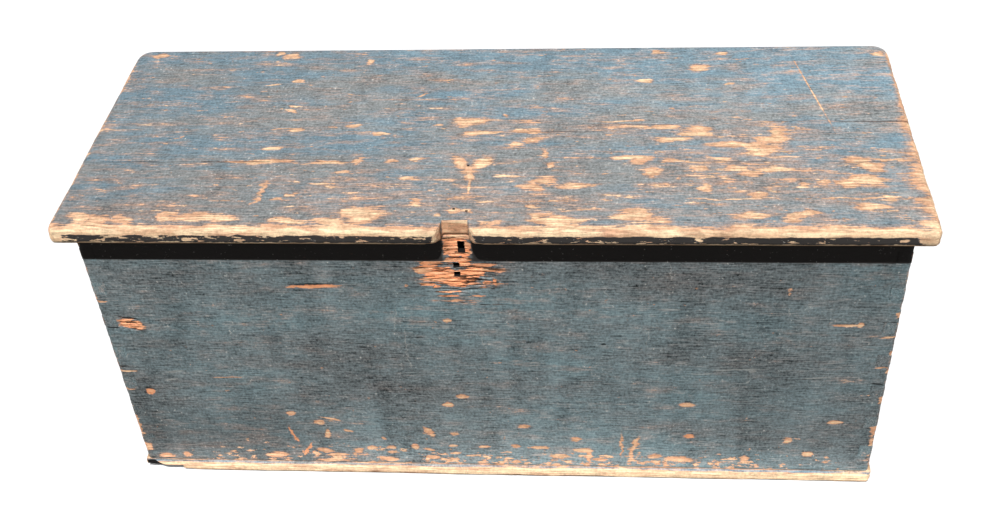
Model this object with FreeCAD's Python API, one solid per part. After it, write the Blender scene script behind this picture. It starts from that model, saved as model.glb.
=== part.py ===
"""Dovetailed pine blanket chest with a two-board lid on wrought strap hinges.

Frame, in millimetres: +X along the chest to its right end, +Y from front to back, +Z up.
The origin is on the floor, under the middle of the lid.
"""
import FreeCAD, Part
import math
import os

Vector = FreeCAD.Vector
UP = Vector(0, 0, 1)
ALONG = Vector(1, 0, 0)
BACKWARD = Vector(0, 1, 0)

# ---------------------------------------------------------------- driving dimensions
# Lid
LID_LENGTH = 1092.0
LID_DEPTH = 436.0
LID_THICKNESS = 22.0
LID_FRONT_OVERHANG = 21.0
LID_END_OVERHANG = 27.0
LID_REAR_OVERHANG = 7.0
LID_FRONT_BOARD_DEPTH = 146.0
LID_EDGE_RADIUS = 10.0
LID_FRONT_CORNER_RADIUS = 14.0
LID_REAR_CORNER_RADIUS = 24.0
# Notch in the lid's front edge, left by the hasp
NOTCH_CENTRE_X = -35.0
NOTCH_WIDTH = 34.0
# Case
CASE_HEIGHT = 422.0
BOARD_THICKNESS = 19.0
# Dovetails: the ends carry the pins, the front and back carry the tails
PIN_COUNT = 7
LOWEST_PIN_HEIGHT = 44.0
HIGHEST_PIN_DROP = 34.0
PIN_WIDTH = 22.0
DOVETAIL_SLOPE = 1.0 / 7.0
# Bottom
BOTTOM_THICKNESS = 17.0
BOTTOM_FRONT_PROJECTION = 6.0
BOTTOM_END_PROJECTION = 4.5
BOTTOM_FRONT_PLANK_DEPTH = 236.0
BROKEN_CORNER_LENGTH = 96.0
BROKEN_CORNER_HEIGHT = 9.0
BROKEN_CORNER_DEPTH = 10.0
# Staple hole in the front, and the two small holes under it
STAPLE_HOLE_X = -29.5
STAPLE_HOLE_WIDTH = 8.0
STAPLE_HOLE_HEIGHT = 14.0
STAPLE_HOLE_DROP = 18.0
SMALL_HOLE_X = -37.5
SMALL_HOLE_SIZE = 4.0
SMALL_HOLE_DROPS = (47.0, 60.0)
# Strap hinges
HINGE_OFFSET_X = 316.0
IRON_THICKNESS = 2.5
PIN_RADIUS = 2.0
PIN_CLEARANCE = 0.05
PIN_HEAD_RADIUS = 3.6
PIN_HEAD_THICKNESS = 1.5
STRAP_KNUCKLE_LENGTH = 16.0
LEAF_KNUCKLE_LENGTH = 10.0
KNUCKLE_GAP = 0.4
STRAP_SHOULDER_WIDTH = 30.0
STRAP_TIP_WIDTH = 14.0
STRAP_TIP_RADIUS = 10.0
STRAP_FIRST_NAIL = 34.0
STRAP_NAIL_SPACINGS = (32.0, 52.0, 74.0)
LEAF_HEIGHT = 64.0
LEAF_FOOT_WIDTH = 46.0
LEAF_NAIL_DROP = 22.0
LEAF_NAIL_RISE = 10.0
LEAF_NAIL_SPREAD = 26.0
HINGE_CLEARANCE = 0.5
KNUCKLE_MORTISE_CLEARANCE = 2.0
# Nails
HINGE_NAIL_SHANK = 2.6
HINGE_NAIL_HEAD = 7.0
HINGE_NAIL_HEAD_THICKNESS = 1.5
CLINCH_LENGTH = 9.0
CLINCH_THICKNESS = 1.0
HASP_NAIL_SHANK = 3.2
HASP_NAIL_XS = (-28.0, -38.0, -22.0)
HASP_NAIL_DISTANCES = (137.0, 45.0, 41.0)
BOTTOM_NAIL_SHANK = 3.0
BOTTOM_NAIL_HEAD = 7.0
BOTTOM_NAIL_HEAD_THICKNESS = 1.5
BOTTOM_NAIL_LENGTH = 50.0
NAIL_COUNT_ALONG = 8
NAIL_COUNT_ACROSS = 3
ROW_END_MARGIN = 60.0

# ---------------------------------------------------------------- places that follow
LID_FRONT_Y = -LID_DEPTH / 2
LID_BACK_Y = LID_DEPTH / 2
CASE_FRONT_Y = LID_FRONT_Y + LID_FRONT_OVERHANG
CASE_BACK_Y = LID_BACK_Y - LID_REAR_OVERHANG
CASE_END_X = LID_LENGTH / 2 - LID_END_OVERHANG
INNER_FRONT_Y = CASE_FRONT_Y + BOARD_THICKNESS
INNER_BACK_Y = CASE_BACK_Y - BOARD_THICKNESS
INNER_END_X = CASE_END_X - BOARD_THICKNESS
CASE_TOP_Z = BOTTOM_THICKNESS + CASE_HEIGHT
LID_TOP_Z = CASE_TOP_Z + LID_THICKNESS
LID_JOINT_Y = LID_FRONT_Y + LID_FRONT_BOARD_DEPTH
BOTTOM_FRONT_Y = CASE_FRONT_Y - BOTTOM_FRONT_PROJECTION
BOTTOM_END_X = CASE_END_X + BOTTOM_END_PROJECTION
# The knuckles are rolled on the middle of the iron, so the axis lies in the middle of
# the strap under the lid and of the leaf on the back.
HINGE_AXIS_Y = CASE_BACK_Y + IRON_THICKNESS / 2
HINGE_AXIS_Z = CASE_TOP_Z - IRON_THICKNESS / 2
KNUCKLE_BORE_RADIUS = PIN_RADIUS + PIN_CLEARANCE
KNUCKLE_RADIUS = KNUCKLE_BORE_RADIUS + IRON_THICKNESS
LEAF_WIDTH = STRAP_KNUCKLE_LENGTH + 2 * LEAF_KNUCKLE_LENGTH + 2 * KNUCKLE_GAP


def block(low_x, high_x, low_y, high_y, low_z, high_z):
    """A box between two corners."""
    corner = Vector(low_x, low_y, low_z)
    return Part.makeBox(high_x - low_x, high_y - low_y, high_z - low_z, corner)


def prism(points, depth):
    """A flat polygon pushed along a vector."""
    return Part.Face(Part.makePolygon(points + points[:1])).extrude(depth)


def centred_block(x, y, low_z, high_z, width):
    """An upright square bar about (x, y)."""
    half = width / 2
    return block(x - half, x + half, y - half, y + half, low_z, high_z)


def fused(shapes):
    """One solid from overlapping pieces, with merged faces."""
    return shapes[0].multiFuse(shapes[1:]).removeSplitter()


# ---------------------------------------------------------------- nails
def strap_nail_places():
    """Distances of the strap's nails from the lid's back edge."""
    places = [STRAP_FIRST_NAIL]
    for spacing in STRAP_NAIL_SPACINGS:
        places.append(places[-1] + spacing)
    return places


def strap_nails(hinge_x):
    """Nails driven up through the strap, their points clinched flush with the lid's top."""
    nails = []
    strap_under_z = CASE_TOP_Z - IRON_THICKNESS
    for index, place in enumerate(strap_nail_places()):
        y = LID_BACK_Y - place
        side = 1 if index % 2 == 0 else -1
        head = centred_block(hinge_x, y, strap_under_z - HINGE_NAIL_HEAD_THICKNESS,
                             strap_under_z, HINGE_NAIL_HEAD)
        shank = centred_block(hinge_x, y, strap_under_z, LID_TOP_Z, HINGE_NAIL_SHANK)
        half = HINGE_NAIL_SHANK / 2
        reach = sorted((hinge_x - side * half, hinge_x + side * CLINCH_LENGTH))
        point = block(reach[0], reach[1], y - half, y + half,
                      LID_TOP_Z - CLINCH_THICKNESS, LID_TOP_Z)
        nails.append(fused([head, shank, point]))
    return nails


def leaf_nail_places(hinge_x):
    """Where the three nails go through the leaf: one high, two low."""
    top = (hinge_x, HINGE_AXIS_Z - LEAF_NAIL_DROP)
    foot_z = HINGE_AXIS_Z - LEAF_HEIGHT + LEAF_NAIL_RISE
    half = LEAF_NAIL_SPREAD / 2
    return [top, (hinge_x - half, foot_z), (hinge_x + half, foot_z)]


def leaf_nails(hinge_x):
    """Nails driven in through the leaf, their points clinched flush with the back's inside."""
    nails = []
    leaf_y = CASE_BACK_Y + IRON_THICKNESS
    half = HINGE_NAIL_SHANK / 2
    half_head = HINGE_NAIL_HEAD / 2
    for x, z in leaf_nail_places(hinge_x):
        head = block(x - half_head, x + half_head, leaf_y,
                     leaf_y + HINGE_NAIL_HEAD_THICKNESS, z - half_head, z + half_head)
        shank = block(x - half, x + half, INNER_BACK_Y, leaf_y, z - half, z + half)
        point = block(x - half, x + half, INNER_BACK_Y, INNER_BACK_Y + CLINCH_THICKNESS,
                      z - CLINCH_LENGTH, z + half)
        nails.append(fused([head, shank, point]))
    return nails


def hasp_nail_stubs():
    """What is left in the lid of the nails that held the hasp."""
    return [centred_block(x, LID_FRONT_Y + distance, CASE_TOP_Z, LID_TOP_Z, HASP_NAIL_SHANK)
            for x, distance in zip(HASP_NAIL_XS, HASP_NAIL_DISTANCES)]


def bottom_nail(x, y):
    """A nail driven up through the bottom, its head flush with the underside."""
    head = centred_block(x, y, 0, BOTTOM_NAIL_HEAD_THICKNESS, BOTTOM_NAIL_HEAD)
    shank = centred_block(x, y, BOTTOM_NAIL_HEAD_THICKNESS, BOTTOM_NAIL_LENGTH,
                          BOTTOM_NAIL_SHANK)
    return fused([head, shank])


def evenly(low, high, count):
    """Even places from low to high."""
    return [low + (high - low) * index / (count - 1) for index in range(count)]


def bottom_nail_rows():
    """The four rows of nails under the case's walls."""
    half = BOARD_THICKNESS / 2
    along = evenly(ROW_END_MARGIN - CASE_END_X, CASE_END_X - ROW_END_MARGIN, NAIL_COUNT_ALONG)
    across = evenly(CASE_FRONT_Y + ROW_END_MARGIN, CASE_BACK_Y - ROW_END_MARGIN,
                    NAIL_COUNT_ACROSS)
    return {
        "bottom_nails_front": [bottom_nail(x, CASE_FRONT_Y + half) for x in along],
        "bottom_nails_back": [bottom_nail(x, CASE_BACK_Y - half) for x in along],
        "bottom_nails_left": [bottom_nail(half - CASE_END_X, y) for y in across],
        "bottom_nails_right": [bottom_nail(CASE_END_X - half, y) for y in across],
    }


# ---------------------------------------------------------------- strap hinges
def rod(radius, low_x, high_x):
    """A round bar on the hinge axis."""
    start = Vector(low_x, HINGE_AXIS_Y, HINGE_AXIS_Z)
    return Part.makeCylinder(radius, high_x - low_x, start, ALONG)


def hinge_strap(hinge_x):
    """Tapered strap with a round tip, under the lid, ending in the middle knuckle."""
    half_knuckle = STRAP_KNUCKLE_LENGTH / 2
    half_shoulder = STRAP_SHOULDER_WIDTH / 2
    half_tip = STRAP_TIP_WIDTH / 2
    low_z = CASE_TOP_Z - IRON_THICKNESS
    shoulder_y = HINGE_AXIS_Y - KNUCKLE_RADIUS - HINGE_CLEARANCE
    tip_y = LID_BACK_Y - strap_nail_places()[-1]
    outline = [
        Vector(hinge_x - half_shoulder, shoulder_y, low_z),
        Vector(hinge_x - half_tip, tip_y, low_z),
        Vector(hinge_x + half_tip, tip_y, low_z),
        Vector(hinge_x + half_shoulder, shoulder_y, low_z),
    ]
    plate = prism(outline, UP * IRON_THICKNESS)
    tip = Part.makeCylinder(STRAP_TIP_RADIUS, IRON_THICKNESS, Vector(hinge_x, tip_y, low_z))
    neck = block(hinge_x - half_knuckle, hinge_x + half_knuckle, shoulder_y, HINGE_AXIS_Y,
                 low_z, CASE_TOP_Z)
    knuckle = rod(KNUCKLE_RADIUS, hinge_x - half_knuckle, hinge_x + half_knuckle)
    strap = fused([plate, tip, neck, knuckle])
    return strap.cut(rod(KNUCKLE_BORE_RADIUS, hinge_x - half_knuckle, hinge_x + half_knuckle))


def hinge_leaf(hinge_x):
    """Flared leaf on the outside of the back, with the two outer knuckles."""
    half = LEAF_WIDTH / 2
    half_foot = LEAF_FOOT_WIDTH / 2
    foot_z = HINGE_AXIS_Z - LEAF_HEIGHT
    outline = [
        Vector(hinge_x - half, CASE_BACK_Y, HINGE_AXIS_Z),
        Vector(hinge_x - half, CASE_BACK_Y, HINGE_AXIS_Z - LEAF_NAIL_DROP),
        Vector(hinge_x - half_foot, CASE_BACK_Y, foot_z),
        Vector(hinge_x + half_foot, CASE_BACK_Y, foot_z),
        Vector(hinge_x + half, CASE_BACK_Y, HINGE_AXIS_Z - LEAF_NAIL_DROP),
        Vector(hinge_x + half, CASE_BACK_Y, HINGE_AXIS_Z),
    ]
    plate = prism(outline, BACKWARD * IRON_THICKNESS)
    half_gap = STRAP_KNUCKLE_LENGTH / 2 + KNUCKLE_GAP
    reach = KNUCKLE_RADIUS + HINGE_CLEARANCE
    window = block(hinge_x - half_gap, hinge_x + half_gap, HINGE_AXIS_Y - reach,
                   HINGE_AXIS_Y + reach, HINGE_AXIS_Z - reach, HINGE_AXIS_Z + reach)
    knuckles = [rod(KNUCKLE_RADIUS, hinge_x - half, hinge_x - half_gap),
                rod(KNUCKLE_RADIUS, hinge_x + half_gap, hinge_x + half)]
    leaf = fused([plate.cut(window)] + knuckles)
    return leaf.cut(rod(KNUCKLE_BORE_RADIUS, hinge_x - half, hinge_x + half))


def hinge_pin(hinge_x):
    """Pin through the three knuckles, riveted over at both ends."""
    half = LEAF_WIDTH / 2
    shaft = rod(PIN_RADIUS, hinge_x - half, hinge_x + half)
    left_head = rod(PIN_HEAD_RADIUS, hinge_x - half - PIN_HEAD_THICKNESS, hinge_x - half)
    right_head = rod(PIN_HEAD_RADIUS, hinge_x + half, hinge_x + half + PIN_HEAD_THICKNESS)
    return fused([shaft, left_head, right_head])


def back_hinge_recess(hinge_x):
    """Cuts in the back's top edge: a shallow way for the strap, a deeper one for the knuckles."""
    half_strap = STRAP_SHOULDER_WIDTH / 2 + HINGE_CLEARANCE
    strap_way = block(hinge_x - half_strap, hinge_x + half_strap, INNER_BACK_Y, CASE_BACK_Y,
                      CASE_TOP_Z - IRON_THICKNESS - HINGE_CLEARANCE, CASE_TOP_Z)
    half = LEAF_WIDTH / 2 + PIN_HEAD_THICKNESS + HINGE_CLEARANCE
    reach = KNUCKLE_RADIUS + HINGE_CLEARANCE
    knuckle_way = block(hinge_x - half, hinge_x + half, HINGE_AXIS_Y - reach, CASE_BACK_Y,
                        HINGE_AXIS_Z - reach, CASE_TOP_Z)
    return strap_way.fuse(knuckle_way)


def lid_hinge_recess(hinge_x):
    """Mortise under the lid's back edge, so that it swings down clear of knuckles and leaf."""
    half = LEAF_WIDTH / 2 + PIN_HEAD_THICKNESS + HINGE_CLEARANCE
    depth = HINGE_AXIS_Z + KNUCKLE_RADIUS - CASE_TOP_Z + KNUCKLE_MORTISE_CLEARANCE
    front_y = HINGE_AXIS_Y - KNUCKLE_RADIUS - HINGE_CLEARANCE
    return block(hinge_x - half, hinge_x + half, front_y, LID_BACK_Y, CASE_TOP_Z,
                 CASE_TOP_Z + depth)


# ---------------------------------------------------------------- lid
def lid_outline():
    """Plan of the lid as one wire, with its corners rounded."""
    half = LID_LENGTH / 2
    corners = [
        (half, LID_FRONT_Y, LID_FRONT_CORNER_RADIUS, -90),
        (half, LID_BACK_Y, LID_REAR_CORNER_RADIUS, 0),
        (-half, LID_BACK_Y, LID_REAR_CORNER_RADIUS, 90),
        (-half, LID_FRONT_Y, LID_FRONT_CORNER_RADIUS, 180),
    ]
    arcs = []
    for x, y, radius, start in corners:
        centre = Vector(x - math.copysign(radius, x), y - math.copysign(radius, y), CASE_TOP_Z)
        points = []
        for degrees in (start, start + 45, start + 90):
            angle = math.radians(degrees)
            points.append(centre + Vector(math.cos(angle), math.sin(angle), 0) * radius)
        arcs.append((points, Part.Arc(*points).toShape()))
    edges = []
    for index, (points, arc) in enumerate(arcs):
        following = arcs[(index + 1) % len(arcs)][0]
        edges += [arc, Part.makeLine(points[-1], following[0])]
    return Part.Wire(edges)


def lid_slab():
    """The whole lid, its top edge rounded over all round, notched at the front."""
    slab = Part.Face(lid_outline()).extrude(UP * LID_THICKNESS)
    middle_z = (CASE_TOP_Z + LID_TOP_Z) / 2
    top_edges = [edge for edge in slab.Edges if edge.BoundBox.ZMin > middle_z]
    slab = slab.makeFillet(min(LID_EDGE_RADIUS, LID_THICKNESS / 2), top_edges)
    half = NOTCH_WIDTH / 2
    notch = block(NOTCH_CENTRE_X - half, NOTCH_CENTRE_X + half, LID_FRONT_Y, CASE_FRONT_Y,
                  CASE_TOP_Z, LID_TOP_Z)
    return slab.cut(notch)


def lid_boards():
    """The two boards of the lid, butted and glued along the joint."""
    half = LID_LENGTH / 2
    slab = lid_slab()
    ahead = block(-half, half, LID_FRONT_Y, LID_JOINT_Y, CASE_TOP_Z, LID_TOP_Z)
    behind = block(-half, half, LID_JOINT_Y, LID_BACK_Y, CASE_TOP_Z, LID_TOP_Z)
    back_board = slab.common(behind)
    for hinge_x in (-HINGE_OFFSET_X, HINGE_OFFSET_X):
        back_board = back_board.cut(lid_hinge_recess(hinge_x))
    return slab.common(ahead), back_board


# ---------------------------------------------------------------- case
def pin_heights():
    """Heights of the dovetail pins' centres."""
    return evenly(BOTTOM_THICKNESS + LOWEST_PIN_HEIGHT, CASE_TOP_Z - HIGHEST_PIN_DROP,
                  PIN_COUNT)


def dovetail_pins(side, low_y):
    """Pins of one corner: wide inside, narrow at the end face, one board thick."""
    pins = []
    half_wide = PIN_WIDTH / 2
    half_narrow = half_wide - BOARD_THICKNESS * DOVETAIL_SLOPE
    for z in pin_heights():
        outline = [
            Vector(side * INNER_END_X, low_y, z - half_wide),
            Vector(side * CASE_END_X, low_y, z - half_narrow),
            Vector(side * CASE_END_X, low_y, z + half_narrow),
            Vector(side * INNER_END_X, low_y, z + half_wide),
        ]
        pins.append(prism(outline, BACKWARD * BOARD_THICKNESS))
    return pins


def end_board(side):
    """An end of the case, between front and back, with pins at both edges."""
    reach = sorted((side * INNER_END_X, side * CASE_END_X))
    panel = block(reach[0], reach[1], INNER_FRONT_Y, INNER_BACK_Y, BOTTOM_THICKNESS,
                  CASE_TOP_Z)
    return fused([panel] + dovetail_pins(side, CASE_FRONT_Y)
                 + dovetail_pins(side, INNER_BACK_Y))


def tail_board(low_y):
    """A long wall of the case, with its tails cut round the ends' pins."""
    board = block(-CASE_END_X, CASE_END_X, low_y, low_y + BOARD_THICKNESS, BOTTOM_THICKNESS,
                  CASE_TOP_Z)
    return board.cut(dovetail_pins(-1, low_y) + dovetail_pins(1, low_y))


def front_board():
    """The front, with the staple hole and the two small holes through it."""
    board = tail_board(CASE_FRONT_Y)
    half = STAPLE_HOLE_WIDTH / 2
    half_height = STAPLE_HOLE_HEIGHT / 2
    hole_z = CASE_TOP_Z - STAPLE_HOLE_DROP
    holes = [block(STAPLE_HOLE_X - half, STAPLE_HOLE_X + half, CASE_FRONT_Y, INNER_FRONT_Y,
                   hole_z - half_height, hole_z + half_height)]
    half = SMALL_HOLE_SIZE / 2
    for drop in SMALL_HOLE_DROPS:
        z = CASE_TOP_Z - drop
        holes.append(block(SMALL_HOLE_X - half, SMALL_HOLE_X + half, CASE_FRONT_Y,
                           INNER_FRONT_Y, z - half, z + half))
    return board.cut(holes)


def back_board():
    """The back, cut away at the top for the hinges."""
    return tail_board(INNER_BACK_Y).cut([back_hinge_recess(-HINGE_OFFSET_X),
                                         back_hinge_recess(HINGE_OFFSET_X)])


def bottom_planks():
    """Two planks under the case; the front one stands proud and has lost its left corner."""
    joint_y = BOTTOM_FRONT_Y + BOTTOM_FRONT_PLANK_DEPTH
    front = block(-BOTTOM_END_X, BOTTOM_END_X, BOTTOM_FRONT_Y, joint_y, 0, BOTTOM_THICKNESS)
    broken = [
        Vector(-BOTTOM_END_X, BOTTOM_FRONT_Y, 0),
        Vector(BROKEN_CORNER_LENGTH - BOTTOM_END_X, BOTTOM_FRONT_Y, 0),
        Vector(-BOTTOM_END_X, BOTTOM_FRONT_Y, BROKEN_CORNER_HEIGHT),
    ]
    front = front.cut(prism(broken, BACKWARD * BROKEN_CORNER_DEPTH))
    back = block(-BOTTOM_END_X, BOTTOM_END_X, joint_y, CASE_BACK_Y, 0, BOTTOM_THICKNESS)
    return front, back


# ---------------------------------------------------------------- assembly
def build():
    """Every node of the chest, with each nail's hole cut to the nail."""
    lid_front, lid_back = lid_boards()
    bottom_front, bottom_back = bottom_planks()
    nodes = {
        "lid_front_board": lid_front,
        "lid_back_board": lid_back,
        "front_board": front_board(),
        "back_board": back_board(),
        "left_end_board": end_board(-1),
        "right_end_board": end_board(1),
        "bottom_front_plank": bottom_front,
        "bottom_back_plank": bottom_back,
    }
    nails = {"hasp_nail_stubs": hasp_nail_stubs()}
    nails.update(bottom_nail_rows())
    for name, hinge_x in (("left", -HINGE_OFFSET_X), ("right", HINGE_OFFSET_X)):
        nodes["hinge_strap_" + name] = hinge_strap(hinge_x)
        nodes["hinge_leaf_" + name] = hinge_leaf(hinge_x)
        nodes["hinge_pin_" + name] = hinge_pin(hinge_x)
        nails["strap_nails_" + name] = strap_nails(hinge_x)
        nails["leaf_nails_" + name] = leaf_nails(hinge_x)
    driven = [nail for group in nails.values() for nail in group]
    for name, shape in nodes.items():
        meeting = [nail for nail in driven if nail.BoundBox.intersect(shape.BoundBox)]
        if meeting:
            nodes[name] = shape.cut(meeting)
    for name, group in nails.items():
        nodes[name] = Part.makeCompound(group)
    return nodes


os.makedirs("parts", exist_ok=True)
for node_name, node_shape in sorted(build().items()):
    node_shape.exportStep("parts/" + node_name + ".step")
    print(node_name, len(node_shape.Solids), round(node_shape.Volume / 1000, 1), "cm3",
          "valid" if node_shape.isValid() else "INVALID")
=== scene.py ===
import bpy
import math
from types import SimpleNamespace as Coat
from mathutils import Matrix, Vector


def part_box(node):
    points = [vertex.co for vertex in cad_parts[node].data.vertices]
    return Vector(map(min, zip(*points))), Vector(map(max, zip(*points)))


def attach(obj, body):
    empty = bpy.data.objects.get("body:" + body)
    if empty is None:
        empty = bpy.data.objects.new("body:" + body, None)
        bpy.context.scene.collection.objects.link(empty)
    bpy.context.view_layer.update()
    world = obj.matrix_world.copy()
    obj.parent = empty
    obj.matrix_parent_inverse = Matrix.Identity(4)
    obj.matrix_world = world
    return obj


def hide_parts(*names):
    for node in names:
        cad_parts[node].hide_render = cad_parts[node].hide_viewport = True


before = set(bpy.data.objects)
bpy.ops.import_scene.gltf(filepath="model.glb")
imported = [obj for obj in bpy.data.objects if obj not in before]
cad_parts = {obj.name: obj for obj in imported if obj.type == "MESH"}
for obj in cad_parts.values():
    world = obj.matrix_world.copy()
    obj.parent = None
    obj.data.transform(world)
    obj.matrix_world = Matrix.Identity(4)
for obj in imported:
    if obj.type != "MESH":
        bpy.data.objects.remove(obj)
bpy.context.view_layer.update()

# ---- camera
# A long lens looks down on the chest from the front, a hand's breadth to its right,
# so that the whole lid and the whole front are in view.
CAMERA_PLACE = (0.1476, -1.4236, 1.4093)
CAMERA_TURN_DEGREES = (48.9054, 2.7389, 3.7941)
CAMERA_SENSOR = 36
CAMERA_LENS = 46.14
CAMERA_SHIFT_UP = 0.0344

bpy.ops.object.select_all(action="DESELECT")
bpy.ops.object.camera_add(location=CAMERA_PLACE,
                          rotation=[math.radians(turn) for turn in CAMERA_TURN_DEGREES])
camera = bpy.context.object
camera.data.sensor_width = CAMERA_SENSOR
camera.data.lens = CAMERA_LENS
camera.data.shift_y = CAMERA_SHIFT_UP
bpy.context.scene.camera = camera
bpy.context.scene.view_settings.view_transform = "Standard"

# ---- floor and studio light
# White paper under the chest. One high lamp stands in front, with faint broad ones before,
# behind and to both sides, and a long low card throws light back on the foot of the case.
MM = 0.001
FLOOR_SIZE = 12.0
FLOOR_WHITE = (0.93, 0.93, 0.93)
FLOOR_SHADE = (0.90, 0.90, 0.905)
FLOOR_FIBRE = 40.0
KEY_HEIGHT_DEGREES = 64.7
KEY_SIDE_DEGREES = -2.0
KEY_STRENGTH = 3.7
KEY_SOFTNESS_DEGREES = 1.2
FILL_TURN_DEGREES = (52.0, 0.0, 205.0)
FILL_STRENGTH = 0.5
FILL_SOFTNESS_DEGREES = 60.0
FRONT_FILL_TURN_DEGREES = (66.0, 0.0, 8.0)
FRONT_FILL_STRENGTH = 0.36
SIDE_FILL_TURNS_DEGREES = (90, -90)
SIDE_FILL_STRENGTH = 1.0
SIDE_FILL_SOFTNESS_DEGREES = 20.0
ROOM_COLOUR = (0.95, 0.97, 1.0, 1.0)
ROOM_STRENGTH = 0.035
CARD_LENGTH = 1.4
CARD_DEPTH = 0.012
CARD_GAP = 0.035
CARD_TILT_DEGREES = 100.0
CARD_POWER = 0.16
NOISE_SPREAD = 15.0


class Wire:
    """A value on its way through a material. Sums of wires add their Math nodes."""

    def __init__(self, finish, socket):
        self.finish, self.socket = finish, socket

    def __add__(self, other):
        return self.finish.reckon("ADD", self, other)

    def __sub__(self, other):
        return self.finish.reckon("SUBTRACT", self, other)

    def __rsub__(self, other):
        return self.finish.reckon("SUBTRACT", other, self)

    def __mul__(self, other):
        return self.finish.reckon("MULTIPLY", self, other)

    def __truediv__(self, other):
        return self.finish.reckon("DIVIDE", self, other)

    __radd__ = __add__
    __rmul__ = __mul__

    def __abs__(self):
        return self.finish.reckon("ABSOLUTE", self)

    def least(self, other):
        return self.finish.reckon("MINIMUM", self, other)

    def most(self, other):
        return self.finish.reckon("MAXIMUM", self, other)

    def step(self, low, high):
        """0 below low, 1 above high, and a soft rise between; low may be above high."""
        return self.finish.add("MapRange", {"interpolation_type": "SMOOTHSTEP"},
                               {"Value": self, "From Min": low, "From Max": high})


class Finish:
    """A material. Every node goes in through its one method, add."""

    def __init__(self, name):
        self.material = bpy.data.materials.new(name)
        self.material.use_nodes = True
        self.material.node_tree.nodes.clear()

    def add(self, kind, settings=None, sockets=None, output=0):
        """Add a node, set it, fill its sockets, and give back one of its outputs."""
        tree = self.material.node_tree
        node = tree.nodes.new("ShaderNode" + kind)
        for name, value in (settings or {}).items():
            setattr(node, name, value)
        for name, value in (sockets or {}).items():
            if isinstance(value, Wire):
                tree.links.new(value.socket, node.inputs[name])
            else:
                node.inputs[name].default_value = value
        return Wire(self, node.outputs[output]) if node.outputs else None

    def reckon(self, operation, *values):
        return self.add("Math", {"operation": operation}, dict(enumerate(values)))

    def combine(self, operation, *vectors, output=0):
        """Sums of vectors, as reckon does them of numbers."""
        return self.add("VectorMath", {"operation": operation}, dict(enumerate(vectors)), output)

    def place(self):
        """Where a point lies on the chest, in metres."""
        return self.add("TexCoord", output="Object")

    def parts(self, vector):
        """The x, y and z of a vector."""
        split = self.add("SeparateXYZ", sockets={0: vector})
        return [Wire(self, socket) for socket in split.socket.node.outputs]

    def vector(self, x, y, z):
        return self.add("CombineXYZ", sockets={0: x, 1: y, 2: z})

    def stretch(self, vector, by):
        return self.combine("MULTIPLY", vector, by)

    def noise(self, place, per_metre, detail=3.0, roughness=0.5, output=0):
        """Cloudy noise with so many swells to the metre along x, y and z."""
        return self.add("TexNoise", sockets={"Vector": self.stretch(place, per_metre),
                                             "Scale": 1.0, "Detail": detail,
                                             "Roughness": roughness}, output=output)

    def swing(self, place, per_metre, detail=4.0, roughness=0.6):
        """Cloudy noise about 0, mostly within 1 either way and seldom past 2."""
        cloud = self.noise(place, per_metre, detail, roughness)
        return self.reckon("MULTIPLY_ADD", cloud, NOISE_SPREAD, -NOISE_SPREAD / 2)

    def bend(self, place, per_metre, reach):
        """Places pushed about by a cloudy noise, so that what is drawn on them is ragged."""
        push = self.noise(place, per_metre, 3, 0.6, output="Color")
        push = self.combine("SUBTRACT", push, (0.5, 0.5, 0.5))
        return self.combine("MULTIPLY_ADD", push, reach, place)

    def mix(self, factor, first, second):
        """The first colour where the factor is 0, the second where it is 1."""
        first, second = [(*colour, 1) if isinstance(colour, tuple) else colour
                         for colour in (first, second)]
        return self.add("Mix", {"data_type": "RGBA"}, {0: factor, 6: first, 7: second},
                        output=2)

    def shade(self, colour, amount):
        """A colour made lighter or darker by an amount about 1."""
        return self.add("VectorMath", {"operation": "SCALE"}, {0: colour, "Scale": amount})

    def surface(self, colour, roughness, height, depth, **fixed):
        """The shader, with its relief: a height of 1 stands the depth proud of 0."""
        relief = self.add("Bump", sockets={"Height": height, "Distance": depth})
        sockets = {"Base Color": colour, "Roughness": roughness, "Normal": relief}
        sockets.update({name.replace("_", " "): value for name, value in fixed.items()})
        shader = self.add("BsdfPrincipled", sockets=sockets)
        self.add("OutputMaterial", sockets={"Surface": shader})
        return self.material


def white_paper():
    """Smooth white paper with a barely seen fibre."""
    paper = Finish("white_paper")
    fibre = paper.noise(paper.place(), (FLOOR_FIBRE, FLOOR_FIBRE, FLOOR_FIBRE))
    colour = paper.mix(fibre, FLOOR_WHITE, FLOOR_SHADE)
    return paper.surface(colour, 0.9, fibre, 0.02 * MM, Specular_IOR_Level=0.1)


def sun(turn_degrees, strength, softness_degrees):
    """A far lamp, broad where its softness is great."""
    turn = [math.radians(degrees) for degrees in turn_degrees]
    bpy.ops.object.light_add(type="SUN", rotation=turn)
    bpy.context.object.data.energy = strength
    bpy.context.object.data.angle = math.radians(softness_degrees)


bpy.ops.mesh.primitive_plane_add(size=FLOOR_SIZE)
floor = bpy.context.object
floor.name = "floor"
floor.visible_diffuse = False
floor.visible_glossy = False
floor.data.materials.append(white_paper())

sun((90 - KEY_HEIGHT_DEGREES, 0, KEY_SIDE_DEGREES), KEY_STRENGTH, KEY_SOFTNESS_DEGREES)
sun(FILL_TURN_DEGREES, FILL_STRENGTH, FILL_SOFTNESS_DEGREES)
sun(FRONT_FILL_TURN_DEGREES, FRONT_FILL_STRENGTH, FILL_SOFTNESS_DEGREES)
for turn in SIDE_FILL_TURNS_DEGREES:
    sun((90, 0, turn), SIDE_FILL_STRENGTH, SIDE_FILL_SOFTNESS_DEGREES)
case_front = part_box("front_board")[0].y
bpy.ops.object.light_add(type="AREA", location=(0, case_front - CARD_GAP, CARD_DEPTH),
                         rotation=(math.radians(CARD_TILT_DEGREES), 0, 0))
card = bpy.context.object
card.data.energy = CARD_POWER
card.data.shape = "RECTANGLE"
card.data.size = CARD_LENGTH
card.data.size_y = CARD_DEPTH
card.visible_camera = False

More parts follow.
